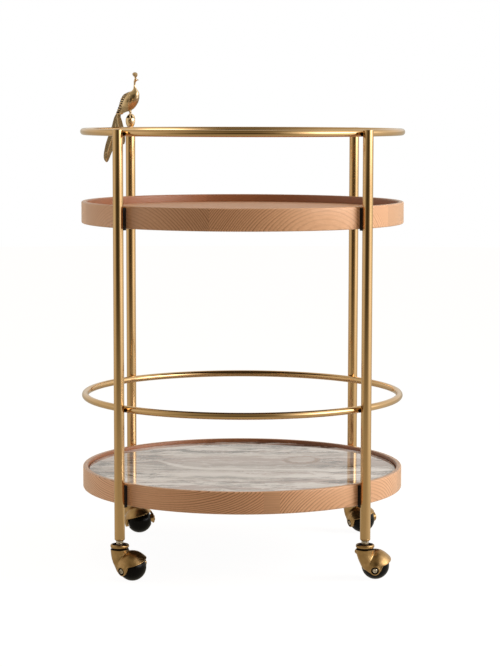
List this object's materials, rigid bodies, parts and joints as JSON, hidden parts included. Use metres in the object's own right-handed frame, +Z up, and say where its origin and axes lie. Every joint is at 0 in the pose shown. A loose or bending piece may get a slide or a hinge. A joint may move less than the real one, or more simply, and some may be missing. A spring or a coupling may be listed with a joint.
{
  "type": "bar cart",
  "caption": "Round two-tier bar cart with wooden-rimmed trays, tubular brass posts and rails, a marble lower shelf, hooded ball casters and a peacock finial.",
  "frame": {"origin": "on the ground, on the axis of the round trays", "axes": "+Z up, -Y towards the camera of the picture, +X to the right in the picture; the finial is on the post at -X and +Y"},
  "size_m": [0.6126, 0.6126, 0.927],
  "materials": {
    "brass": "polished antique brass",
    "bronze": "antique bronze, darkened in the hollows",
    "wood": "lacquered, warm brown",
    "marble": "polished, banded cream and pink with dark veins",
    "black_saddle": "black, satin",
    "steel": "dark plated steel",
    "rubber": "matt black",
    "ball": "glossy black"
  },
  "bodies": {
    "cart": {"post_front_left": "brass", "post_front_right": "brass", "post_back_left": "brass", "post_back_right": "brass", "post_plug_front_left": "brass", "post_plug_front_right": "brass", "post_plug_back_left": "brass", "post_plug_back_right": "brass", "top_rail": "brass", "guard_rail": "brass", "upper_tray_rim": "wood", "lower_tray_rim": "wood", "upper_tray_floor": "wood", "lower_tray_floor": "wood", "marble_slab": "marble", "upper_saddle_front_left": "black_saddle", "upper_saddle_front_right": "black_saddle", "upper_saddle_back_left": "black_saddle", "upper_saddle_back_right": "black_saddle", "upper_screw_front_left": "steel", "upper_screw_front_right": "steel", "upper_screw_back_left": "steel", "upper_screw_back_right": "steel", "lower_saddle_front_left": "black_saddle", "lower_saddle_front_right": "black_saddle", "lower_saddle_back_left": "black_saddle", "lower_saddle_back_right": "black_saddle", "lower_screw_front_left": "steel", "lower_screw_front_right": "steel", "lower_screw_back_left": "steel", "lower_screw_back_right": "steel", "caster_stem_front_left": "steel", "caster_stem_front_right": "steel", "caster_stem_back_left": "steel", "caster_stem_back_right": "steel", "caster_cup_front_left": "bronze", "caster_cup_front_right": "bronze", "caster_cup_back_left": "bronze", "caster_cup_back_right": "bronze", "caster_seal_front_left": "rubber", "caster_seal_front_right": "rubber", "caster_seal_back_left": "rubber", "caster_seal_back_right": "rubber", "finial_ball": "brass", "peacock_body": "brass", "peacock_crest": "brass", "peacock_train_long": "brass", "peacock_train_short": "brass"},
    "caster_front_left": {"caster_hood_front_left": "bronze", "caster_axle_front_left": "steel"},
    "ball_front_left": {"caster_ball_front_left": "ball"},
    "caster_front_right": {"caster_hood_front_right": "bronze", "caster_axle_front_right": "steel"},
    "ball_front_right": {"caster_ball_front_right": "ball"},
    "caster_back_left": {"caster_hood_back_left": "bronze", "caster_axle_back_left": "steel"},
    "ball_back_left": {"caster_ball_back_left": "ball"},
    "caster_back_right": {"caster_hood_back_right": "bronze", "caster_axle_back_right": "steel"},
    "ball_back_right": {"caster_ball_back_right": "ball"}
  },
  "joints": [
    {"name": "swivel_front_left", "type": "hinge", "parent": "cart", "child": "caster_front_left", "pos_m": [-0.22355, -0.22355, 0.058], "axis": [0, 0, 1], "continuous": true},
    {"name": "roll_front_left", "type": "hinge", "parent": "caster_front_left", "child": "ball_front_left", "pos_m": [-0.20056, -0.22582, 0.0254], "axis": [-0.6609, -0.734, -0.1564], "continuous": true},
    {"name": "swivel_front_right", "type": "hinge", "parent": "cart", "child": "caster_front_right", "pos_m": [0.22355, -0.22355, 0.058], "axis": [0, 0, 1], "continuous": true},
    {"name": "roll_front_right", "type": "hinge", "parent": "caster_front_right", "child": "ball_front_right", "pos_m": [0.24327, -0.21152, 0.0254], "axis": [-0.0861, -0.9839, -0.1564], "continuous": true},
    {"name": "swivel_back_left", "type": "hinge", "parent": "cart", "child": "caster_back_left", "pos_m": [-0.22355, 0.22355, 0.058], "axis": [0, 0, 1], "continuous": true},
    {"name": "roll_back_left", "type": "hinge", "parent": "caster_back_left", "child": "ball_back_left", "pos_m": [-0.20798, 0.20649, 0.0254], "axis": [-0.9823, -0.1032, -0.1564], "continuous": true},
    {"name": "swivel_back_right", "type": "hinge", "parent": "cart", "child": "caster_back_right", "pos_m": [0.22355, 0.22355, 0.058], "axis": [0, 0, 1], "continuous": true},
    {"name": "roll_back_right", "type": "hinge", "parent": "caster_back_right", "child": "ball_back_right", "pos_m": [0.24402, 0.21284, 0.0254], "axis": [-0.8877, -0.433, -0.1564], "continuous": true}
  ]
}
